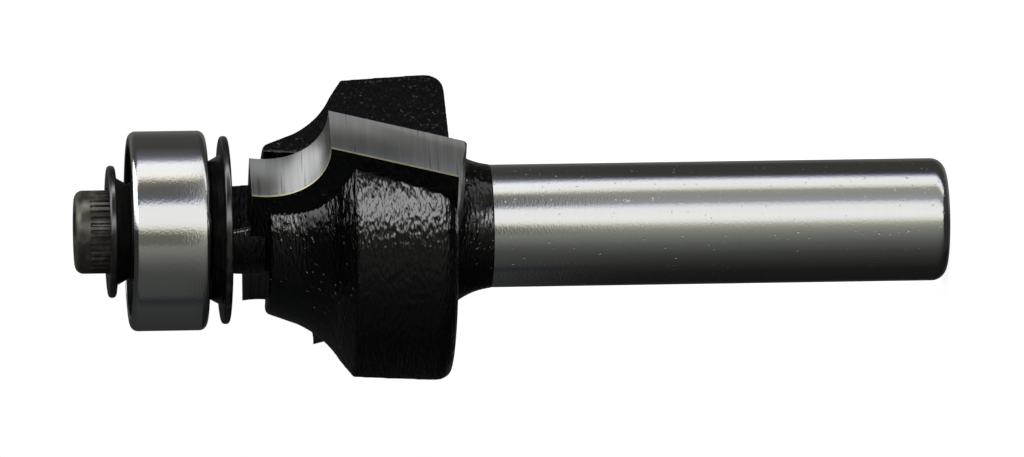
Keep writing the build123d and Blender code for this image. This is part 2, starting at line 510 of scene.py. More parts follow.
def arc_between(start: Vector, middle: Vector, end: Vector, count: int) -> list[Vector]:
    """Points of a circular arc through three points of the XZ plane.

    Args:
        start: the first point.
        middle: a point on the way.
        end: the last point.
        count: number of chords.

    Returns:
        The points, with both ends.
    """
    across, beyond = middle - start, end - start
    doubled = 2 * (across.x * beyond.z - across.z * beyond.x)
    lengths = across.length_squared, beyond.length_squared
    centre = start + Vector(
        (
            (beyond.z * lengths[0] - across.z * lengths[1]) / doubled,
            0.0,
            (across.x * lengths[1] - beyond.x * lengths[0]) / doubled,
        )
    )
    radius = (start - centre).length
    first = atan2(start.z - centre.z, start.x - centre.x)
    last = atan2(end.z - centre.z, end.x - centre.x)
    sweep = (last - first + pi) % (2 * pi) - pi
    angles = [first + sweep * step / count for step in range(count + 1)]
    return [centre + radius * Vector((cos(angle), 0.0, sin(angle))) for angle in angles]


def rounded(before: Vector, corner: Corner, after: Vector) -> list[Vector]:
    """Points of one corner of a section.

    Args:
        before: the point before the corner.
        corner: the corner.
        after: the point after it.

    Returns:
        The corner itself, or the arc that rounds it.
    """
    point = corner.point()
    if not corner.rounding:
        return [point]
    back, forward = (before - point).normalized(), (after - point).normalized()
    half = back.angle(forward) / 2
    reach = corner.rounding / tan(half)
    centre = point + (back + forward).normalized() * corner.rounding / sin(half)
    middle = centre + (point - centre).normalized() * corner.rounding
    chords = 2 * ceil(degrees(pi - 2 * half) / 24)
    return arc_between(point + back * reach, middle, point + forward * reach, chords)


def section(rows: list[tuple[float, ...]], closed: bool) -> list[Vector]:
    """Points of a turned section with its corners rounded.

    Args:
        rows: the corners in order: distance from the axis, height and, if any, rounding.
        closed: whether the last joins the first; the ends of an open section stay sharp.

    Returns:
        The points in order.
    """
    corners = [Corner(*row) for row in rows]
    places = [corner.point() for corner in corners]
    points: list[Vector] = []
    for index, corner in enumerate(corners):
        if not closed and index in (0, len(corners) - 1):
            points.append(places[index])
        else:
            points += rounded(places[index - 1], corner, places[(index + 1) % len(corners)])
    return points


# ---------------------------------------------------------------- modelling steps
def deselect() -> None:
    """Leave edit mode and select nothing."""
    if bpy.context.mode != "OBJECT":
        bpy.ops.object.mode_set(mode="OBJECT")
    bpy.ops.object.select_all(action="DESELECT")


def pick(piece: bpy.types.Object) -> None:
    """Select one piece and make it active.

    Args:
        piece: the piece.
    """
    deselect()
    piece.select_set(True)
    bpy.context.view_layer.objects.active = piece


def trace(points: list[Vector], closed: bool) -> bpy.types.Object:
    """Draw a line of edges, starting from a small plane merged to one point.

    Args:
        points: the corners of the line.
        closed: whether the last joins the first.

    Returns:
        The new object, in edit mode with all of it selected.
    """
    deselect()
    bpy.ops.mesh.primitive_plane_add(size=MM, location=points[0] * MM)
    bpy.ops.object.transform_apply(location=True)
    bpy.ops.object.mode_set(mode="EDIT")
    bpy.ops.mesh.select_mode(type="VERT")
    bpy.ops.mesh.merge(type="CENTER")
    path = points + points[:1] if closed else points
    for start, end in zip(path, path[1:]):
        bpy.ops.mesh.extrude_vertices_move(TRANSFORM_OT_translate={"value": (end - start) * MM})
    bpy.ops.mesh.select_all(action="SELECT")
    bpy.ops.mesh.remove_doubles(threshold=MERGE)
    bpy.ops.mesh.select_all(action="SELECT")
    return bpy.context.active_object


def close_mesh(name: str) -> bpy.types.Object:
    """Merge doubles, point the faces outwards, and leave edit mode.

    Args:
        name: the piece's name.

    Returns:
        The piece.
    """
    bpy.ops.mesh.select_all(action="SELECT")
    bpy.ops.mesh.remove_doubles(threshold=MERGE)
    bpy.ops.mesh.normals_make_consistent(inside=False)
    bpy.ops.object.mode_set(mode="OBJECT")
    piece = bpy.context.active_object
    piece.name = name
    piece.data.name = name
    return piece


def turn(name: str, corners: list[Vector], closed: bool, steps: int = 192) -> bpy.types.Object:
    """Spin a section round the axis.

    Args:
        name: the piece's name.
        corners: the section's points.
        closed: whether the section is a closed line that stays off the axis.
        steps: number of faces round the axis.

    Returns:
        The turned piece.
    """
    trace(corners, closed)
    bpy.ops.mesh.spin(steps=steps, angle=2 * pi, center=(0, 0, 0), axis=(0, 0, 1))
    return close_mesh(name)


def raise_plate(name: str, outline: list[Vector], push: Vector) -> bpy.types.Object:
    """Fill an outline and extrude it.

    Args:
        name: the piece's name.
        outline: the corners of the outline.
        push: direction and length of the extrusion.

    Returns:
        The plate.
    """
    trace(outline, closed=True)
    bpy.ops.mesh.edge_face_add()
    bpy.ops.mesh.extrude_region_move(TRANSFORM_OT_translate={"value": push * MM})
    return close_mesh(name)


def trim(piece: bpy.types.Object, point: Vector, outward: Vector) -> None:
    """Cut away what lies beyond a plane and close the cut.

    Args:
        piece: the piece.
        point: a point of the plane.
        outward: the side that is cut away.
    """
    pick(piece)
    bpy.ops.object.mode_set(mode="EDIT")
    bpy.ops.mesh.select_all(action="SELECT")
    bpy.ops.mesh.bisect(
        plane_co=point * MM, plane_no=outward, use_fill=True, clear_outer=True, threshold=MERGE
    )
    close_mesh(piece.name)


def apply(piece: bpy.types.Object, kind: str, **settings: object) -> None:
    """Add a modifier to a piece and apply it.

    Args:
        piece: the piece.
        kind: the modifier's type.
        settings: its properties.
    """
    pick(piece)
    modifier = piece.modifiers.new(kind.lower(), kind)
    for name, setting in settings.items():
        setattr(modifier, name, setting)
    bpy.ops.object.modifier_apply(modifier=modifier.name)


def cut(piece: bpy.types.Object, cutter: bpy.types.Object) -> None:
    """Cut one shape out of a piece and remove the cutter."""
    apply(piece, "BOOLEAN", operation="DIFFERENCE", solver="EXACT", object=cutter)
    bpy.data.objects.remove(cutter)


def soften(piece: bpy.types.Object, width: float) -> None:
    """Round a piece's sharp edges to a width in millimetres."""
    settings = {"limit_method": "ANGLE", "angle_limit": radians(SHARP), "harden_normals": False}
    apply(piece, "BEVEL", width=width * MM, segments=2, **settings)


def smooth(piece: bpy.types.Object, limit: float = SHARP) -> None:
    """Shade a piece smooth but for edges sharper than a limit in degrees."""
    pick(piece)
    bpy.ops.object.shade_smooth_by_angle(angle=radians(limit))


def dress(piece: bpy.types.Object, finish: Finish, slot: Slot, body: Body, *nodes: str) -> None:
    """Give a piece its finish, its body and the nodes that it stands for.

    Args:
        piece: the piece.
        finish: its finish.
        slot: the material slot that it belongs to; not used.
        body: the body that it rides on.
        nodes: the frame's nodes that it replaces.
    """
    piece.data.materials.clear()
    piece.data.materials.append(finish.material())
    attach(piece, body.value)
    if nodes:
        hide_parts(*nodes)
    piece.data.calc_loop_triangles()
    log.info("%s: %d triangles", piece.name, len(piece.data.loop_triangles))


def copy_turned(piece: bpy.types.Object, name: str, angle: float) -> bpy.types.Object:
    """Copy a piece with its own mesh, turned about the axis.

    Args:
        piece: the piece that is copied.
        name: the copy's name.
        angle: the turn in degrees.

    Returns:
        The copy.
    """
    copy = piece.copy()
    copy.data = piece.data.copy()
    copy.name = copy.data.name = name
    bpy.context.scene.collection.objects.link(copy)
    copy.data.transform(Matrix.Rotation(radians(angle), 4, "Z"))
    return copy


# ---------------------------------------------------------------- cutter body and tips
@dataclass(frozen=True)
class RakePlane:
    """Plane of a cutting face: x runs outward and y from the tip's front to the shank."""

    angle: float = -41.0
    shear: float = 15.0
    offset: float = 0.4
    front: float = 45.8
    back: float = 32.05
    seat_start: float = 1.95
    seat_rise: float = 9.7

    @property
    def tip_length(self) -> float:
        """Length of the tip along the plane."""
        return (self.front - self.back) / cos(radians(self.shear))

    def outward(self) -> Vector:
        """Direction of x."""
        return Vector((cos(radians(self.angle)), sin(radians(self.angle)), 0.0))

    def facing(self) -> Vector:
        """Direction that the cutting face looks in."""
        shear = radians(self.shear)
        return self.trailing() * -cos(shear) - Vector((0, 0, 1)) * sin(shear)

    def trailing(self) -> Vector:
        """Direction that points back from the cutting face, square to the axis."""
        return Vector((sin(radians(self.angle)), -cos(radians(self.angle)), 0.0))

    def along(self) -> Vector:
        """Direction of y."""
        return self.facing().cross(self.outward())

    def point(self, x: float, y: float, raised: float = 0.0) -> Vector:
        """A point of the plane, or one raised off it."""
        origin = self.trailing() * self.offset + Vector((0, 0, self.front))
        return origin + self.outward() * x + self.along() * y + self.facing() * raised

    def at_radius(self, radius: float, height: float) -> tuple[float, float]:
        """Coordinates in the plane of what lies at a radius and a height of the tool.

        Args:
            radius: distance from the axis.
            height: height from the end of the shank.

        Returns:
            The point's x and y.
        """
        along = (self.front - height) / cos(radians(self.shear))
        behind_axis = self.offset + along * sin(radians(self.shear))
        return sqrt(radius**2 - behind_axis**2), along


@dataclass(frozen=True)
class SlotCut:
    """A cut along a rake plane whose floor climbs towards the shank."""

    floor_start: float
    floor_rise: float
    behind: float
    ahead: float
    run_in: float = 3.0
    run_out: float = 0.9
    reach: float = 16.0

    def outline(self, rake: RakePlane) -> list[Vector]:
        """Outline of the cut at its rear wall.

        Args:
            rake: the rake plane.

        Returns:
            The corners of the outline.
        """
        slope = tan(radians(self.floor_rise))
        front, back = -self.run_in, rake.tip_length + self.run_out
        corners = [
            (self.floor_start + slope * front, front),
            (self.reach, front),
            (self.reach, back),
            (self.floor_start + slope * back, back),
        ]
        return [rake.point(x, y, -self.behind) for x, y in corners]

    def cutter(self, rake: RakePlane) -> bpy.types.Object:
        """The solid that the cut takes away."""
        return raise_plate("cutter", self.outline(rake), rake.facing() * (self.behind + self.ahead))


@dataclass
class CutterBody:
    """The turned body with its two wings: a bright shank and a painted head."""

    shank_r: float = 4.0
    shank_round: float = 0.95
    paint_edge: float = 29.85
    paint_thickness: float = 0.04
    neck_start: float = 29.95
    neck_middle: tuple[float, float] = (4.33, 31.1)
    neck_top_r: float = 5.3
    lobe_r: float = 10.45
    lobe_round: float = 1.3
    lobe_bottom: float = 32.6
    lobe_top: float = 39.2
    cove_top: tuple[float, float] = (8.95, 40.05)
    cove_middle: tuple[float, float] = (7.3, 41.1)
    cove_foot: tuple[float, float] = (6.2, 42.6)
    hub_end: float = 44.6
    hub_r: float = 5.45
    hub_round: float = 0.35
    arbor_r: float = 2.97
    arbor_end: float = 46.95
    tapped_r: float = 1.5
    tapped_depth: float = 6.5
    arc_chords: int = 12
    grain: float = 0.1
    smoothing: float = 0.5
    smoothing_turns: int = 3
    kept_share: float = 0.5
    slot: SlotCut = SlotCut(RakePlane.seat_start, RakePlane.seat_rise, behind=2.5, ahead=3.5)
    gullet: SlotCut = SlotCut(4.2, 7.9, behind=0.0, ahead=14.0)

    def head_section(self) -> list[Vector]:
        """Section of the painted blank, from the paint's edge to the arbor's tapped end.

        Returns:
            The points of the section.
        """
        painted_r = self.shank_r + self.paint_thickness
        neck = ((painted_r, self.neck_start), self.neck_middle, (self.neck_top_r, self.lobe_bottom))
        cove = (self.cove_top, self.cove_middle, self.cove_foot)
        arcs = [[Corner(*place).point() for place in arc] for arc in (neck, cove)]
        lobe = [
            (self.neck_top_r, self.lobe_bottom),
            (self.lobe_r, self.lobe_bottom, self.lobe_round),
            (self.lobe_r, self.lobe_top),
            self.cove_top,
        ]
        hub_edge = (self.hub_r, self.hub_end, self.hub_round)
        hub = [self.cove_foot, hub_edge, (self.arbor_r, self.hub_end)]
        return [
            Vector((0, 0, self.paint_edge)),
            Vector((painted_r, 0, self.paint_edge)),
            *arc_between(*arcs[0], self.arc_chords),
            *section(lobe, closed=False)[1:-1],
            *arc_between(*arcs[1], self.arc_chords),
            *section(hub, closed=False)[1:],
            Vector((self.arbor_r, 0, self.arbor_end)),
            Vector((self.tapped_r, 0, self.arbor_end)),
            Vector((self.tapped_r, 0, self.arbor_end - self.tapped_depth)),
            Vector((0, 0, self.arbor_end - self.tapped_depth)),
        ]

    def build_shank(self) -> None:
        """Turn and dress the bright shank, up to the paint's edge."""
        rows = [
            (0, 0),
            (self.shank_r, 0, self.shank_round),
            (self.shank_r, self.paint_edge),
            (0, self.paint_edge),
        ]
        shank = turn("bright_shank", section(rows, closed=False), closed=False)
        smooth(shank)
        dress(shank, SHANK_STEEL, Slot.BODY, Body.CUTTER)

    def build_head(self) -> None:
        """Turn the blank, cut its slots and gullets, and round all of it as thick paint does."""
        head = turn("painted_head", self.head_section(), closed=False)
        for angle in (RakePlane.angle, RakePlane.angle + 180.0):
            rake = RakePlane(angle)
            cut(head, self.slot.cutter(rake))
            cut(head, self.gullet.cutter(rake))
        apply(head, "REMESH", mode="VOXEL", voxel_size=self.grain * MM)
        apply(head, "SMOOTH", factor=self.smoothing, iterations=self.smoothing_turns)
        apply(head, "DECIMATE", decimate_type="COLLAPSE", ratio=self.kept_share)
        pick(head)
        bpy.ops.object.shade_smooth()
        dress(head, ENAMEL, Slot.BODY, Body.CUTTER, "cutter_body")

    def build(self) -> None:
        """Build both pieces."""
        self.build_shank()
        self.build_head()


@dataclass
class CarbideTips:
    """Two ground carbide tips, each on its layer of braze."""

    cutting_r: float = 11.7
    thickness: float = 2.4
    braze: float = 0.1
    side_relief: float = 22.0
    front_relief: float = 17.0
    arc_r: float = 5.2
    arc_foot: float = 40.9
    back_taper: float = 1.0
    heel_round: float = 0.3
    inside: float = -16.0
    arc_chords: int = 28
    edge_width: float = 0.03
    edge_limit: float = 30.0
    back_facing: float = -0.9

    def cut_radius(self, height: float) -> float:
        """Radius that the rounding arc cuts at a height."""
        rise = min(self.arc_foot + self.arc_r - height, self.arc_r)
        return self.cutting_r - sqrt(self.arc_r**2 - rise**2)

    def outline(self, rake: RakePlane) -> list[tuple[float, float]]:
        """Ground outline in the rake plane, from the front of the arc to the heel.

        Args:
            rake: the rake plane.

        Returns:
            The coordinates of the outline.
        """
        centre = self.arc_foot + self.arc_r
        first = acos((centre - rake.front) / self.arc_r)
        points = []
        for step in range(self.arc_chords + 1):
            height = centre - self.arc_r * cos(first * (1 - step / self.arc_chords))
            points.append(rake.at_radius(self.cut_radius(height), height))
        heel_r = self.cutting_r - tan(radians(self.back_taper)) * (self.arc_foot - rake.back)
        heel = rake.at_radius(heel_r, rake.back)
        before = Vector((points[-1][0], 0, points[-1][1]))
        after = Vector((self.inside, 0, heel[1]))
        points += [(p.x, p.z) for p in rounded(before, Corner(*heel, self.heel_round), after)]
        return points + [(self.inside, rake.tip_length), (self.inside, 0.0)]

    def ground_block(self, name: str, rake: RakePlane, depth: float) -> bpy.types.Object:
        """Extrude the ground outline along the relief and cut the seat and the heel.

        Args:
            name: the piece's name.
            rake: the rake plane.
            depth: how far the block reaches behind the cutting face.

        Returns:
            The block.
        """
        front_ground = rake.along() * tan(radians(self.front_relief))
        side_ground = rake.outward() * tan(radians(self.side_relief))
        outline = [rake.point(x, y) for x, y in self.outline(rake)]
        block = raise_plate(name, outline, (front_ground - side_ground - rake.facing()) * depth)
        slope = tan(radians(rake.seat_rise))
        trim(block, rake.point(rake.seat_start, 0), rake.along() * slope - rake.outward())
        trim(block, rake.point(0, rake.tip_length), rake.along())
        return block

    def paint_back(self, piece: bpy.types.Object, facing: Vector) -> None:
        """Paint the faces that look back from the cutting face.

        Args:
            piece: the piece, already dressed.
            facing: direction that the cutting face looks in.
        """
        piece.data.materials.append(ENAMEL.material())
        for face in piece.data.polygons:
            face.material_index = int(face.normal.dot(facing) < self.back_facing)

    def build(self) -> None:
        """Build one tip and its braze, copy both to the other wing and dress them."""
        rakes = (RakePlane(), RakePlane(RakePlane.angle + 180.0))
        tip = self.ground_block("carbide_tip_1", rakes[0], self.thickness)
        soften(tip, self.edge_width)
        smooth(tip, self.edge_limit)
        layer = self.ground_block("braze_layer_1", rakes[0], self.thickness + self.braze)
        trim(layer, rakes[0].point(0, 0, -self.thickness), rakes[0].facing())
        smooth(layer)
        tips = (tip, copy_turned(tip, "carbide_tip_2", 180.0))
        layers = (layer, copy_turned(layer, "braze_layer_2", 180.0))
        for number, (rake, tip, layer) in enumerate(zip(rakes, tips, layers), start=1):
            dress(tip, CARBIDE, Slot.CARBIDE, Body.CUTTER, f"carbide_tip_{number}")
            dress(layer, BRAZE, Slot.BRAZE, Body.CUTTER, f"braze_layer_{number}")
            self.paint_back(layer, rake.facing())


# ---------------------------------------------------------------- guide bearing and what holds it
@dataclass
class BearingSpacer:
    """Flanged sleeve that carries the bearing and keeps chips off it."""

    bore_r: float = 1.6
    sleeve_r: float = 2.0
    flange_r: float = 6.12
    flange_bottom: float = 46.95
    flange_thickness: float = 0.5
    boss_r: float = 4.9
    boss_top_r: float = 4.5
    boss_height: float = 0.75
    land_r: float = 3.0
    bearing_bottom: float = 48.42
    top: float = 53.27
    bore_round: float = 0.05
    flange_round: float = 0.2
    boss_foot_round: float = 0.1
    boss_round: float = 0.15
    land_round: float = 0.03
    sleeve_round: float = 0.08

    def build(self) -> None:
        """Turn and dress the spacer."""
        flange_top = self.flange_bottom + self.flange_thickness
        boss_top = flange_top + self.boss_height
        rows = [
            (self.bore_r, self.flange_bottom, self.bore_round),
            (self.flange_r, self.flange_bottom, self.flange_round),
            (self.flange_r, flange_top, self.flange_round),
            (self.boss_r, flange_top, self.boss_foot_round),
            (self.boss_top_r, boss_top, self.boss_round),
            (self.land_r, boss_top, self.land_round),
            (self.land_r, self.bearing_bottom, self.land_round),
            (self.sleeve_r, self.bearing_bottom),
            (self.sleeve_r, self.top, self.sleeve_round),
            (self.bore_r, self.top, self.bore_round),
        ]
        spacer = turn("bearing_spacer", section(rows, closed=True), closed=True)
        smooth(spacer)
        dress(spacer, BLACK_STEEL, Slot.BLACK, Body.CUTTER, "bearing_spacer")


@dataclass
class GuideBearing:
    """Shielded ball bearing, 4 x 13 x 5."""

    bottom: float = 48.42
    width: float = 5.0
    bore_r: float = 2.0
    inner_r: float = 3.2
    outer_bore_r: float = 5.15
    outer_r: float = 6.5
    edge_round: float = 0.5
    bore_round: float = 0.15
    face_round: float = 0.12
    ball_count: int = 7
    ball_r: float = 1.19
    ball_chords: int = 18
    pitch_r: float = 4.25
    clearance: float = 0.02
    groove_chords: int = 12
    cage_inner_r: float = 3.95
    cage_outer_r: float = 4.55
    cage_height: float = 3.0
    pocket_gap: float = 0.03
    shield_r: float = 5.6
    shield_bore_r: float = 3.3
    shield_thickness: float = 0.25
    shield_depth: float = 0.7
    shield_bend: float = 0.05
    shield_edge: float = 0.04
    lip_step: float = 0.1
    lip_start: float = 0.45
    lip_end: float = 0.6

    @property
    def top(self) -> float:
        """Height of the bearing's top."""
        return self.bottom + self.width

    @property
    def middle(self) -> float:
        """Height of the balls' centres."""
        return self.bottom + self.width / 2

    def raceway(self, radius: float) -> list[Vector]:
        """Groove that the balls run in, drawn upwards at the radius of a ring's wall.

        Args:
            radius: the wall's radius.

        Returns:
            The groove's points.
        """
        groove_r = self.ball_r + self.clearance
        half = sqrt(groove_r**2 - (radius - self.pitch_r) ** 2)
        side = 1.0 if radius > self.pitch_r else -1.0
        start, end = (Vector((radius, 0, self.middle + way * half)) for way in (-1, 1))
        floor = Vector((self.pitch_r + side * groove_r, 0, self.middle))
        return arc_between(start, floor, end, self.groove_chords)

    def build_inner_ring(self) -> None:
        """Turn and dress the inner ring."""
        rows = [
            (self.inner_r, self.middle),
            (self.inner_r, self.bottom, self.face_round),
            (self.bore_r, self.bottom, self.bore_round),
            (self.bore_r, self.top, self.bore_round),
            (self.inner_r, self.top, self.face_round),
            (self.inner_r, self.middle),
        ]
        wall, groove = section(rows, closed=False)[1:-1], self.raceway(self.inner_r)
        ring = turn("bearing_inner_ring", wall + groove[::-1], closed=True)
        smooth(ring)
        dress(ring, RING_STEEL, Slot.BEARING, Body.CUTTER, "bearing_inner_ring")

    def build_outer_ring(self) -> None:
        """Turn and dress the outer ring with the two seats of its shields."""
        seat_low, seat_high = self.bottom + self.shield_depth, self.top - self.shield_depth
        rows = [
            (self.outer_bore_r, seat_low),
            (self.shield_r, seat_low),
            (self.shield_r, self.bottom, self.face_round),
            (self.outer_r, self.bottom, self.edge_round),
            (self.outer_r, self.top, self.edge_round),
            (self.shield_r, self.top, self.face_round),
            (self.shield_r, seat_high),
            (self.outer_bore_r, seat_high),
        ]
        wall, groove = section(rows, closed=False), self.raceway(self.outer_bore_r)
        ring = turn("bearing_outer_ring", wall + groove[::-1], closed=True, steps=256)
        smooth(ring)
        dress(ring, RING_STEEL, Slot.BEARING, Body.GUIDE_RIM, "bearing_outer_ring")

    def build_shields(self) -> None:
        """Turn the lower shield, a pressed disc with a stepped lip, and copy it turned over."""
        low = self.bottom + self.shield_depth - self.shield_thickness
        high, lip = low + self.shield_thickness, low + self.lip_step
        rows = [
            (self.shield_bore_r, lip, self.shield_edge),
            (self.shield_bore_r + self.lip_start, lip, self.shield_bend),
            (self.shield_bore_r + self.lip_end, low, self.shield_bend),
            (self.shield_r, low, 2 * self.shield_edge),
            (self.shield_r, high, self.shield_edge),
            (self.shield_bore_r, high, self.shield_edge),
        ]
        lower = turn("bearing_shield_2", section(rows, closed=True), closed=True, steps=128)
        smooth(lower)
        upper = copy_turned(lower, "bearing_shield_1", 0.0)
        centre, over = Vector((0, 0, self.middle)) * MM, Matrix.Rotation(pi, 4, "X")
        upper.data.transform(Matrix.Translation(centre) @ over @ Matrix.Translation(-centre))
        for shield, node in ((lower, "bearing_shield_2"), (upper, "bearing_shield_1")):
            dress(shield, PRESSED_STEEL, Slot.SHIELD, Body.GUIDE_RIM, node)

    def build_balls(self) -> None:
        """Turn one ball, copy it round the pitch circle and dress all of them."""
        poles = [Vector((0, 0, side * self.ball_r)) for side in (-1, 1)]
        half = arc_between(poles[0], Vector((self.ball_r, 0, 0)), poles[1], self.ball_chords)
        first = turn("ball_1", half, closed=False, steps=2 * self.ball_chords)
        first.data.transform(Matrix.Translation(Vector((self.pitch_r, 0, self.middle)) * MM))
        smooth(first)
        balls = [first]
        for index in range(1, self.ball_count):
            balls.append(copy_turned(first, f"ball_{index + 1}", 360 / self.ball_count * index))
        for number, ball in enumerate(balls, start=1):
            dress(ball, BALL_STEEL, Slot.BEARING, Body.BALL_CAGE, f"ball_{number}")

    def build_cage(self) -> None:
        """Turn the cage ring, pierce its pockets and dress it."""
        low, high = (self.middle + side * self.cage_height / 2 for side in (-1, 1))
        inner_r, outer_r = self.cage_inner_r, self.cage_outer_r
        rows = [(inner_r, low), (outer_r, low), (outer_r, high), (inner_r, high)]
        cage = turn("ball_cage", section(rows, closed=True), closed=True, steps=140)
        for index in range(self.ball_count):
            angle = 2 * pi / self.ball_count * index
            place = Vector((self.pitch_r * cos(angle), self.pitch_r * sin(angle), self.middle))
            deselect()
            bpy.ops.mesh.primitive_cylinder_add(
                vertices=48,
                radius=(self.ball_r + self.pocket_gap) * MM,
                depth=2 * MM,
                location=place * MM,
                rotation=(0, pi / 2, angle),
            )
            cut(cage, bpy.context.active_object)
        smooth(cage)
        dress(cage, PRESSED_STEEL, Slot.SHIELD, Body.BALL_CAGE, "ball_cage")

    def build(self) -> None:
        """Build the bearing's pieces."""
        self.build_inner_ring()
        self.build_outer_ring()
        self.build_shields()
        self.build_balls()
        self.build_cage()


@dataclass
class CupWasher:
    """Cupped washer under the screw head."""

    bottom: float = 53.42
    bore_r: float = 1.6
    foot_r: float = 3.04
    cone_r: float = 3.54
    cone_height: float = 0.88
    rim_r: float = 4.3
    rim_thickness: float = 0.5
    recess_r: float = 2.9
    floor: float = 0.53
    bore_round: float = 0.05
    foot_round: float = 0.06
    cone_round: float = 0.1
    rim_round: float = 0.2
    floor_round: float = 0.08

    def build(self) -> None:
        """Turn and dress the washer."""
        rim_bottom = self.bottom + self.cone_height
        rim_top = rim_bottom + self.rim_thickness
        floor_top = self.bottom + self.floor
        rows = [
            (self.bore_r, self.bottom, self.bore_round),
            (self.foot_r, self.bottom, self.foot_round),
            (self.cone_r, rim_bottom, self.cone_round),
            (self.rim_r, rim_bottom, self.rim_round),
            (self.rim_r, rim_top, self.rim_round),
            (self.recess_r, rim_top, self.cone_round),
            (self.recess_r, floor_top, self.floor_round),
            (self.bore_r, floor_top, self.bore_round),
        ]
        washer = turn("cup_washer", section(rows, closed=True), closed=True, steps=160)
        smooth(washer)
        dress(washer, BLACK_STEEL, Slot.BLACK, Body.CUTTER, "cup_washer")


@dataclass
class CapScrew:
    """Socket cap screw with a knurled head."""

    seat: float = 53.95
    length: float = 12.0
    thread_r: float = 1.5
    tip_chamfer: float = 0.3
    head_r: float = 2.71
    head_height: float = 3.0
    head_round: float = 0.55
    knurl_count: int = 38
    knurl_end: float = 1.05
    knurl_depth: float = 0.13
    knurl_steps: int = 5
    knurl_bevel: float = 0.12
    knurl_share: tuple[float, float] = (0.3, 0.7)
    tolerance: float = 0.01
    edge_limit: float = 40.0
    hex_flats: float = 2.5
    hex_depth: float = 1.3
    hex_run_out: float = 0.5

    def build(self) -> None:
        """Turn the screw, knurl its head, sink the hexagon and dress it."""
        top = self.seat + self.head_height
        knurl_top = top - self.knurl_end
        tip = self.seat - self.length
        rows = [
            (0, tip),
            (self.thread_r - self.tip_chamfer, tip),
            (self.thread_r, tip + self.tip_chamfer),
            (self.thread_r, self.seat),
            (self.head_r - self.knurl_depth, self.seat),
            (self.head_r, self.seat + self.knurl_bevel),
            (self.head_r, knurl_top),
            (self.head_r, knurl_top + self.knurl_bevel),
            (self.head_r, top, self.head_round),
            (0, top),
        ]
        points = section(rows, closed=False)
        screw = turn("cap_screw", points, closed=False, steps=self.knurl_count * self.knurl_steps)
        self.knurl(screw, knurl_top)
        self.sink_hexagon(screw, top)
        smooth(screw, self.edge_limit)
        dress(screw, SCREW_STEEL, Slot.SCREW, Body.CUTTER, "cap_screw")

    def knurl(self, screw: bpy.types.Object, knurl_top: float) -> None:
        """Press grooves into the side of the head.

        Args:
            screw: the screw.
            knurl_top: height at which the grooves end.
        """
        pick(screw)
        pitch, (start, end) = 2 * pi / self.knurl_count, self.knurl_share
        for vertex in screw.data.vertices:
            place = vertex.co / MM
            outside = place.xy.length > self.head_r - self.tolerance
            low = self.seat < place.z < knurl_top + self.tolerance
            share = (atan2(place.y, place.x) / pitch) % 1.0
            vertex.select = outside and low and start < share < end
        for face in screw.data.polygons:
            face.select = False
        for edge in screw.data.edges:
            edge.select = False
        bpy.ops.object.mode_set(mode="EDIT")
        bpy.ops.mesh.select_mode(type="VERT")
        scale = 1 - self.knurl_depth / self.head_r
        bpy.ops.transform.resize(value=(scale, scale, 1.0), center_override=(0, 0, 0))
        bpy.ops.object.mode_set(mode="OBJECT")

    def sink_hexagon(self, screw: bpy.types.Object, top: float) -> None:
        """Sink the hexagon socket.

        Args:
            screw: the screw.
            top: height of the head's top.
        """
        deselect()
        depth = self.hex_depth + self.hex_run_out
        bpy.ops.mesh.primitive_cylinder_add(
            vertices=6,
            radius=self.hex_flats / sqrt(3) * MM,
            depth=depth * MM,
            location=(0, 0, (top - self.hex_depth + depth / 2) * MM),
        )
        cut(screw, bpy.context.active_object)


# ---------------------------------------------------------------- studio
# The light that the drum gives in each direction round the axis, in degrees from -Y towards +X:
# a grey or a colour at each stop.
SHANK_BANDS = (
    (-180, 0.04),
    (-172, 0.06),
    (-164, 0.04),
    (-150, 0.01),
    (-104, 0.014),
    (-80, (0.032, 0.032, 0.03)),
    (-60, (0.06, 0.062, 0.056)),
    (-40, (0.12, 0.125, 0.115)),
    (-20, (0.23, 0.24, 0.215)),
    (-10, (0.34, 0.345, 0.31)),
    (-4, (0.55, 0.54, 0.44)),
    (3, (1.0, 1.0, 0.97)),
    (11, 1.12),
    (29, (1.05, 1.06, 1.07)),
    (35, (0.75, 0.79, 0.85)),
    (39, (0.4, 0.41, 0.43)),
    (51, 0.34),
    (62, (0.38, 0.37, 0.34)),
    (67, (0.85, 0.81, 0.7)),
    (72, (1.08, 1.08, 1.06)),
    (87, (1.1, 1.12, 1.15)),
    (93, (0.36, 0.39, 0.48)),
    (98, (0.07, 0.07, 0.085)),
    (107, 0.05),
    (140, (0.05, 0.05, 0.047)),
    (156, (0.13, 0.13, 0.12)),
    (170, (0.16, 0.16, 0.15)),
    (180, 0.04),
)
RING_BANDS = (
    (-180, 0.03),
    (-160, 0.03),
    (-130, (0.035, 0.038, 0.037)),
    (-100, (0.045, 0.048, 0.047)),
    (-88, (0.025, 0.027, 0.035)),
    (-80, (0.06, 0.065, 0.063)),
    (-50, (0.075, 0.078, 0.076)),
    (-40, (0.105, 0.108, 0.1)),
    (-19, (0.24, 0.245, 0.225)),
    (-15, (0.15, 0.15, 0.135)),
    (-5, (0.15, 0.15, 0.13)),
    (-1, (0.36, 0.35, 0.27)),
    (4, (0.98, 0.97, 0.9)),
    (9, 1.08),
    (29, (1.08, 1.1, 1.12)),
    (33, (0.4, 0.44, 0.55)),
    (37, (0.13, 0.135, 0.15)),
    (50, (0.13, 0.13, 0.125)),
    (58, (0.22, 0.21, 0.18)),
    (62, (0.85, 0.78, 0.66)),
    (66, (1.2, 1.2, 1.18)),
    (84, (1.2, 1.22, 1.26)),
    (89, (0.3, 0.33, 0.42)),
    (96, (0.13, 0.13, 0.14)),
    (112, 0.06),
    (140, (0.075, 0.074, 0.07)),
    (160, (0.14, 0.14, 0.13)),
    (170, (0.14, 0.14, 0.13)),
    (180, 0.03),
)


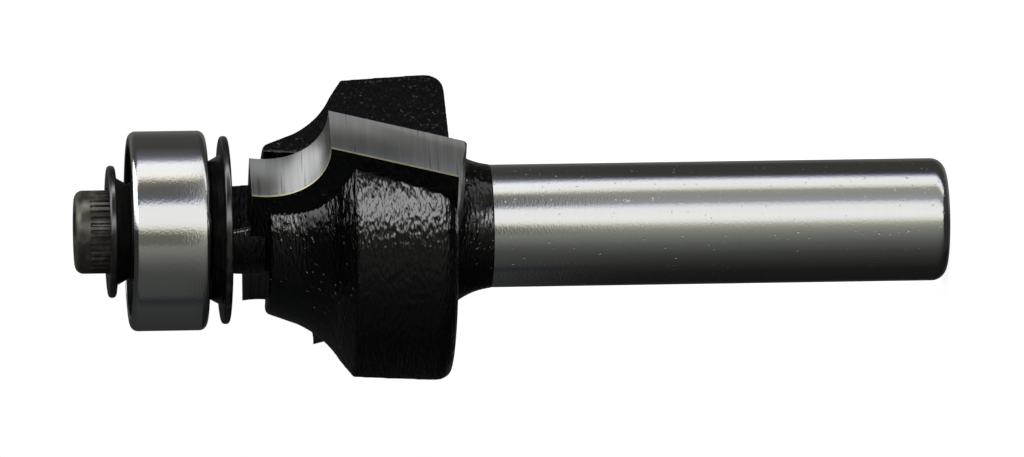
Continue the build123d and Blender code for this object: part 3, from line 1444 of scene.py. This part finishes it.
@dataclass(frozen=True)
class CatchLight:
    """A hoop of light that shines only on pieces of some finishes; its angles are degrees."""

    name: str
    direction: float
    width: float
    glow: float
    finishes: tuple[Finish, ...]
    radius: float = 130.0
    middle: float = 40.0
    reach: int = 75
    chord: int = 5
    steps: int = 6


@dataclass
class Studio:
    """Camera, pale floor, white surroundings and a drum of soft light round the tool."""

    tilt: float = 4.7
    roll: float = radians(0.88)
    aim: tuple[float, float, float] = (-0.187, 0.0, 28.4)
    frame_width: float = 66.75
    lens: float = 500.0
    sensor: float = 36.0
    drum_r: float = 450.0
    drum_low: float = -700.0
    drum_high: float = 500.0
    floor_r: float = 420.0
    floor_glow: float = 0.9
    floor_shade: float = 0.45
    floor_bounce: float = 0.8
    band_change: float = -13.0
    band_edge: float = 1.0
    world_light: float = 0.5
    lid_glow: tuple[float, float] = (2.6, 0.05)
    lid_dark: float = 0.03
    lid_change: float = 120.0
    catch_lights: tuple[CatchLight, ...] = (
        CatchLight("head_light", 16.0, 36.0, 6.5, (ENAMEL,), middle=34.0, reach=35),
        CatchLight("front_light", 18.0, 24.0, 4.0, (BLACK_STEEL, SCREW_STEEL)),
        CatchLight("side_light", 78.0, 20.0, 6.0, (BLACK_STEEL, SCREW_STEEL)),
    )

    def build_camera(self) -> None:
        """Place a long lens that sees the tool lying along the picture."""
        tilt = radians(self.tilt)
        right = Vector((-sin(self.roll), -sin(tilt) * cos(self.roll), -cos(tilt) * cos(self.roll)))
        up = Vector((cos(self.roll), -sin(tilt) * sin(self.roll), -cos(tilt) * sin(self.roll)))
        back = right.cross(up)
        data = bpy.data.cameras.new("camera")
        data.lens = self.lens
        data.sensor_width = self.sensor
        data.clip_start = 0.01
        data.clip_end = 10.0
        camera = bpy.data.objects.new("camera", data)
        bpy.context.scene.collection.objects.link(camera)
        distance = self.frame_width * self.lens / self.sensor
        place = Matrix.Translation((Vector(self.aim) + back * distance) * MM)
        camera.matrix_world = place @ Matrix((right, up, back)).transposed().to_4x4()
        bpy.context.scene.camera = camera

    def build_world(self) -> None:
        """Make the surroundings white to the eye and to reflections, and dimmer as a light."""
        world = bpy.data.worlds.new("surroundings")
        world.use_nodes = True
        bpy.context.scene.world = world
        desk = NodeDesk(world.node_tree)
        path = desk.add("ShaderNodeLightPath")
        seen = desk.value(path, "Is Camera Ray") + desk.value(path, "Is Glossy Ray")
        seen = (seen + desk.value(path, "Is Transmission Ray")).step(0.0, 1.0)
        strength = self.world_light + (1.0 - self.world_light) * seen
        inputs = {"Color": (1, 1, 1, 1), "Strength": strength}
        shader = desk.add("ShaderNodeBackground", inputs=inputs)
        desk.add("ShaderNodeOutputWorld", inputs={"Surface": shader.outputs[0]})

    @staticmethod
    def hang(
        card: bpy.types.Object,
        name: str,
        colour: bpy.types.NodeSocket | tuple,
        desk: NodeDesk,
        clear: bool = False,
    ) -> None:
        """Turn a mesh into a glowing card that lights the tool and that the camera doesn't see.

        Args:
            card: the mesh.
            name: its name.
            colour: the colour of the glow, or the socket that gives it.
            desk: the desk of its material.
            clear: whether what is behind the card shows through it.
        """
        glow = desk.add("ShaderNodeEmission", inputs={"Color": colour, "Strength": 1.0})
        if clear:
            through = desk.add("ShaderNodeBsdfTransparent").outputs[0]
            glow = desk.add("ShaderNodeAddShader", inputs={0: glow.outputs[0], 1: through})
        desk.add("ShaderNodeOutputMaterial", inputs={"Surface": glow.outputs[0]})
        card.name = name
        card.visible_camera = False
        card.visible_shadow = False

    @staticmethod
    def card_desk(card: bpy.types.Object, name: str) -> NodeDesk:
        """Give a card an empty material.

        Args:
            card: the card.
            name: the material's name.

        Returns:
            The desk of the material.
        """
        material = bpy.data.materials.new(name)
        material.use_nodes = True
        card.data.materials.append(material)
        return NodeDesk(material.node_tree)

    def build_drum(self) -> None:
        """Put the bands of light and shade round the tool."""
        deselect()
        bpy.ops.mesh.primitive_cylinder_add(
            vertices=96,
            radius=self.drum_r * MM,
            depth=(self.drum_high - self.drum_low) * MM,
            end_fill_type="NOTHING",
            location=(0, 0, (self.drum_high + self.drum_low) / 2 * MM),
        )
        bpy.ops.object.transform_apply(location=True)
        drum = bpy.context.active_object
        desk = self.card_desk(drum, "light_drum")
        x, y, z = desk.axes()
        turned = x.math("ARCTAN2", x, 0.0 - y) / (2 * pi) + 0.5
        ramps = []
        for bands in (SHANK_BANDS, RING_BANDS):
            stops = [(angle / 360 + 0.5, light) for angle, light in bands]
            ramp = desk.add("ShaderNodeValToRGB", {"stops": stops}, {"Fac": turned})
            ramps.append(ramp.outputs["Color"])
        change, edge = self.band_change * MM, self.band_edge * MM
        above = z.step(change - edge, change + edge)
        self.hang(drum, "light_drum", desk.blend(above, *ramps), desk)

    def build_lids(self) -> None:
        """Close the drum above and below with cards that glow on the side of the high band."""
        lids = ("upper_lid", "lower_lid"), (self.drum_high, self.drum_low), self.lid_glow
        for name, height, glow in zip(*lids):
            deselect()
            disc = {"vertices": 96, "radius": self.drum_r * MM, "fill_type": "NGON"}
            bpy.ops.mesh.primitive_circle_add(**disc)
            bpy.ops.transform.translate(value=(0, 0, height * MM))
            bpy.ops.object.transform_apply(location=True)
            lid = bpy.context.active_object
            desk = self.card_desk(lid, name)
            x, _, _ = desk.axes()
            dark, bright = (self.lid_dark,) * 3, (glow,) * 3
            change = x.step(0.0, self.lid_change * MM)
            self.hang(lid, name, desk.blend(change, dark, bright), desk)

    def build_catch_light(self, light: CatchLight) -> None:
        """Spin an arc into a hoop of light round the tool and let it shine on its pieces.

        Args:
            light: the hoop's place, size, brightness and finishes.
        """
        tilts = [radians(tilt) for tilt in range(-light.reach, light.reach + 1, light.chord)]
        arc = [Vector((cos(tilt), 0, sin(tilt))) * light.radius for tilt in tilts]
        trace([point + Vector((0, 0, light.middle)) for point in arc], closed=False)
        sweep = radians(light.width)
        bpy.ops.mesh.spin(steps=light.steps, angle=sweep, center=(0, 0, 0), axis=(0, 0, 1))
        hoop = close_mesh(light.name)
        middle = sum((vertex.co for vertex in hoop.data.vertices), Vector())
        turned = radians(light.direction) - pi / 2 - atan2(middle.y, middle.x)
        hoop.data.transform(Matrix.Rotation(turned, 4, "Z"))
        desk = self.card_desk(hoop, light.name)
        x, y, _ = desk.axes()
        aside = x.math("ARCTAN2", x, 0.0 - y) - radians(light.direction)
        inward = 1.0 - aside.math("ABSOLUTE", aside) / (sweep / 2)
        glow = desk.blend(inward.step(0.0, 1.0), (0.0, 0.0, 0.0), (light.glow,) * 3)
        self.hang(hoop, light.name, glow, desk, clear=True)
        lit = bpy.data.collections.new(light.name)
        finishes = [finish.name for finish in light.finishes]
        for piece in bpy.context.scene.objects:
            worn = piece.data.materials if piece.type == "MESH" else ()
            if worn and worn[0].name in finishes:
                lit.objects.link(piece)
        hoop.light_linking.receiver_collection = lit

    def build_floor(self) -> None:
        """Lay a round pale floor that melts into the white surroundings and keeps a soft shadow."""
        deselect()
        bpy.ops.mesh.primitive_circle_add(vertices=128, radius=self.floor_r * MM, fill_type="NGON")
        floor = bpy.context.active_object
        desk = self.card_desk(floor, "pale_floor")
        seen = desk.value(desk.add("ShaderNodeLightPath"), "Is Camera Ray")
        glow = {"Color": (1, 1, 1, 1), "Strength": self.floor_glow}
        white = desk.add("ShaderNodeEmission", inputs=glow)
        shades = ((*(grey,) * 3, 1) for grey in (self.floor_shade, self.floor_bounce))
        shaded, matt = (desk.add("ShaderNodeBsdfDiffuse", inputs={"Color": c}) for c in shades)
        backed = desk.add("ShaderNodeAddShader", inputs={0: white.outputs[0], 1: shaded.outputs[0]})
        shaders = {0: seen, 1: matt.outputs[0], 2: backed.outputs[0]}
        mixed = desk.add("ShaderNodeMixShader", inputs=shaders)
        desk.add("ShaderNodeOutputMaterial", inputs={"Surface": mixed.outputs[0]})
        floor.name = "floor"
        floor.visible_glossy = False

    def build(self) -> None:
        """Set up the studio."""
        bpy.context.scene.view_settings.view_transform = "Standard"
        self.build_camera()
        self.build_world()
        self.build_drum()
        self.build_lids()
        for light in self.catch_lights:
            self.build_catch_light(light)
        self.build_floor()


def main() -> None:
    """Build the tool and its studio."""
    logging.basicConfig(level=logging.INFO, format="%(message)s")
    CutterBody().build()
    CarbideTips().build()
    BearingSpacer().build()
    GuideBearing().build()
    CupWasher().build()
    CapScrew().build()
    Studio().build()


if __name__ == "__main__":
    main()
